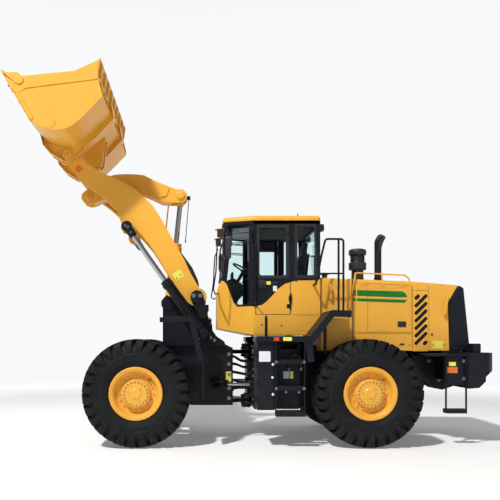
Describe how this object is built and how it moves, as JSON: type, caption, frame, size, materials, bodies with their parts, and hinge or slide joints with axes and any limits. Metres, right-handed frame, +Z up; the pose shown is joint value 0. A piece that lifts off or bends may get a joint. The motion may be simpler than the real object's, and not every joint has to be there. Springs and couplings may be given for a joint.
{
  "type": "wheel loader",
  "caption": "Articulated wheel loader with a raised, rolled-back bucket, boom with rocker linkage, glazed cab, engine hood with side doors and large treaded wheels.",
  "frame": {"origin": "on the ground in the middle of the machine's length and width, under the articulation hinge", "axes": "+Z up, the bucket end faces -X, the rear of the machine +X, its left side -Y"},
  "size_m": [7.1988, 3, 5.5628],
  "materials": {
    "body_yellow": "semi-gloss",
    "frame_black": "satin",
    "dark_grey": "satin",
    "tyre": "matt",
    "chrome": "polished",
    "cast": "rough",
    "glass": "clear",
    "plastic_black": "textured",
    "seat_cloth": "woven",
    "worn_steel": "worn"
  },
  "bodies": {
    "rear_frame": {"rear_frame": "frame_black", "rear_axle": "frame_black", "engine": "cast", "counterweight": "frame_black", "tank_cover": "body_yellow", "hood": "body_yellow", "grille_surround": "dark_grey", "hood_rails": "body_yellow", "precleaner": "plastic_black", "exhaust_pipe": "frame_black", "cab_body": "body_yellow", "cab_frame": "frame_black", "cab_roof": "body_yellow", "cab_glass": "glass", "seat": "seat_cloth", "steering_console": "plastic_black", "steering_wheel": "plastic_black", "platforms": "frame_black", "ladders": "frame_black", "side_boxes": "dark_grey", "side_tanks": "dark_grey", "rear_fenders": "dark_grey", "handrails": "frame_black", "grab_bars": "frame_black", "mirrors": "plastic_black", "work_lamps": "plastic_black", "rear_steps": "frame_black"},
    "front_frame": {"front_frame": "frame_black", "front_axle": "frame_black", "front_fenders": "dark_grey"},
    "front_left_wheel": {"front_left_tyre": "tyre", "front_left_rim": "body_yellow"},
    "front_right_wheel": {"front_right_tyre": "tyre", "front_right_rim": "body_yellow"},
    "rear_left_wheel": {"rear_left_tyre": "tyre", "rear_left_rim": "body_yellow"},
    "rear_right_wheel": {"rear_right_tyre": "tyre", "rear_right_rim": "body_yellow"},
    "boom": {"boom": "body_yellow"},
    "bucket": {"bucket": "body_yellow", "cutting_edge": "body_yellow"},
    "rocker": {"rocker": "body_yellow"},
    "bucket_link": {"bucket_link": "dark_grey"},
    "lift_barrels": {"lift_barrels": "frame_black"},
    "lift_rods": {"lift_rods": "chrome"},
    "tilt_barrel": {"tilt_barrel": "body_yellow"},
    "tilt_rod": {"tilt_rod": "chrome"},
    "steering_barrel_left": {"steering_barrel_left": "frame_black"},
    "steering_rod_left": {"steering_rod_left": "chrome"},
    "steering_barrel_right": {"steering_barrel_right": "frame_black"},
    "steering_rod_right": {"steering_rod_right": "chrome"},
    "left_door": {"left_door": "body_yellow", "left_door_glass": "glass"},
    "right_door": {"right_door": "body_yellow", "right_door_glass": "glass"},
    "hood_door_left": {"hood_door_left": "body_yellow"},
    "hood_door_right": {"hood_door_right": "body_yellow"},
    "grille_door": {"grille_door": "dark_grey"}
  },
  "joints": [
    {"name": "articulation", "type": "hinge", "parent": "rear_frame", "child": "front_frame", "pos_m": [0, 0, 0.995], "axis": [0, 0, 1], "range_deg": [-35, 35]},
    {"name": "front_left_wheel_spin", "type": "hinge", "parent": "front_frame", "child": "front_left_wheel", "pos_m": [-1.684, -1.1, 0.79], "axis": [0, 1, 0], "continuous": true},
    {"name": "front_right_wheel_spin", "type": "hinge", "parent": "front_frame", "child": "front_right_wheel", "pos_m": [-1.684, 1.1, 0.79], "axis": [0, 1, 0], "continuous": true},
    {"name": "rear_left_wheel_spin", "type": "hinge", "parent": "rear_frame", "child": "rear_left_wheel", "pos_m": [1.69, -1.1, 0.79], "axis": [0, 1, 0], "continuous": true},
    {"name": "rear_right_wheel_spin", "type": "hinge", "parent": "rear_frame", "child": "rear_right_wheel", "pos_m": [1.69, 1.1, 0.79], "axis": [0, 1, 0], "continuous": true},
    {"name": "boom_lift", "type": "hinge", "parent": "front_frame", "child": "boom", "pos_m": [-0.807, 0, 2.231], "axis": [0, 1, 0], "range_deg": [-86, 0]},
    {"name": "bucket_tilt", "type": "hinge", "parent": "boom", "child": "bucket", "pos_m": [-2.815, 0, 4.425], "axis": [0, -1, 0], "range_deg": [-25, 100]},
    {"name": "rocker_pivot", "type": "hinge", "parent": "boom", "child": "rocker", "pos_m": [-1.95, 0, 4.05], "axis": [0, -1, 0], "range_deg": [-33, 9]},
    {"name": "link_pivot", "type": "hinge", "parent": "rocker", "child": "bucket_link", "pos_m": [-2.569, 0, 3.886], "axis": [0, -1, 0], "range_deg": [-17, 66]},
    {"name": "lift_barrel_pivot", "type": "hinge", "parent": "front_frame", "child": "lift_barrels", "pos_m": [-0.72, 0, 1.66], "axis": [0, 1, 0], "range_deg": [-74.5, 0]},
    {"name": "lift_rod_slide", "type": "slide", "parent": "lift_barrels", "child": "lift_rods", "axis": [-0.5767, 0, 0.817], "range_m": [-0.715, 0]},
    {"name": "tilt_barrel_pivot", "type": "hinge", "parent": "front_frame", "child": "tilt_barrel", "pos_m": [-1.261, 0, 2.139], "axis": [0, 1, 0], "range_deg": [-99.5, 0]},
    {"name": "tilt_rod_slide", "type": "slide", "parent": "tilt_barrel", "child": "tilt_rod", "axis": [0.1051, 0, 0.9945], "range_m": [-0.545, 0]},
    {"name": "steering_barrel_pivot_left", "type": "hinge", "parent": "rear_frame", "child": "steering_barrel_left", "pos_m": [0.62, -0.46, 0.875], "axis": [0, 0, 1], "range_deg": [-16.06, 16.06]},
    {"name": "steering_rod_slide_left", "type": "slide", "parent": "steering_barrel_left", "child": "steering_rod_left", "axis": [-0.9954, -0.0957, 0], "range_m": [-0.32, 0.32]},
    {"name": "steering_barrel_pivot_right", "type": "hinge", "parent": "rear_frame", "child": "steering_barrel_right", "pos_m": [0.62, 0.46, 0.875], "axis": [0, 0, 1], "range_deg": [-16.06, 16.06]},
    {"name": "steering_rod_slide_right", "type": "slide", "parent": "steering_barrel_right", "child": "steering_rod_right", "axis": [-0.9954, 0.0957, 0], "range_m": [-0.32, 0.32]},
    {"name": "left_door_hinge", "type": "hinge", "parent": "rear_frame", "child": "left_door", "pos_m": [0.612, -0.814, 2.63], "axis": [0, 0, 1], "range_deg": [0, 95]},
    {"name": "right_door_hinge", "type": "hinge", "parent": "rear_frame", "child": "right_door", "pos_m": [0.612, 0.814, 2.63], "axis": [0, 0, -1], "range_deg": [0, 95]},
    {"name": "hood_door_left_hinge", "type": "hinge", "parent": "rear_frame", "child": "hood_door_left", "pos_m": [2.039, -0.758, 2.42095], "axis": [-0.9991, 0, 0.0426], "range_deg": [0, 75]},
    {"name": "hood_door_right_hinge", "type": "hinge", "parent": "rear_frame", "child": "hood_door_right", "pos_m": [2.039, 0.758, 2.42095], "axis": [0.9991, 0, -0.0426], "range_deg": [0, 75]},
    {"name": "grille_door_hinge", "type": "hinge", "parent": "rear_frame", "child": "grille_door", "pos_m": [3.332, 0.64, 1.9], "axis": [-0.0896, 0, 0.996], "range_deg": [0, 110]}
  ],
  "couplings": [
    {"joint": "rocker_pivot", "follows": "bucket_tilt", "ratio": -0.32},
    {"joint": "link_pivot", "follows": "bucket_tilt", "ratio": 0.65},
    {"joint": "lift_barrel_pivot", "follows": "boom_lift", "ratio": 0.859},
    {"joint": "lift_rod_slide", "follows": "boom_lift", "m_per_rad": 0.4723},
    {"joint": "tilt_barrel_pivot", "follows": "boom_lift", "ratio": 1.1475},
    {"joint": "tilt_rod_slide", "follows": "boom_lift", "m_per_rad": 0.3598},
    {"joint": "steering_barrel_pivot_left", "follows": "articulation", "ratio": 0.4445},
    {"joint": "steering_barrel_pivot_right", "follows": "articulation", "ratio": 0.4445},
    {"joint": "steering_rod_slide_left", "follows": "articulation", "m_per_rad": -0.509},
    {"joint": "steering_rod_slide_right", "follows": "articulation", "m_per_rad": 0.509}
  ]
}
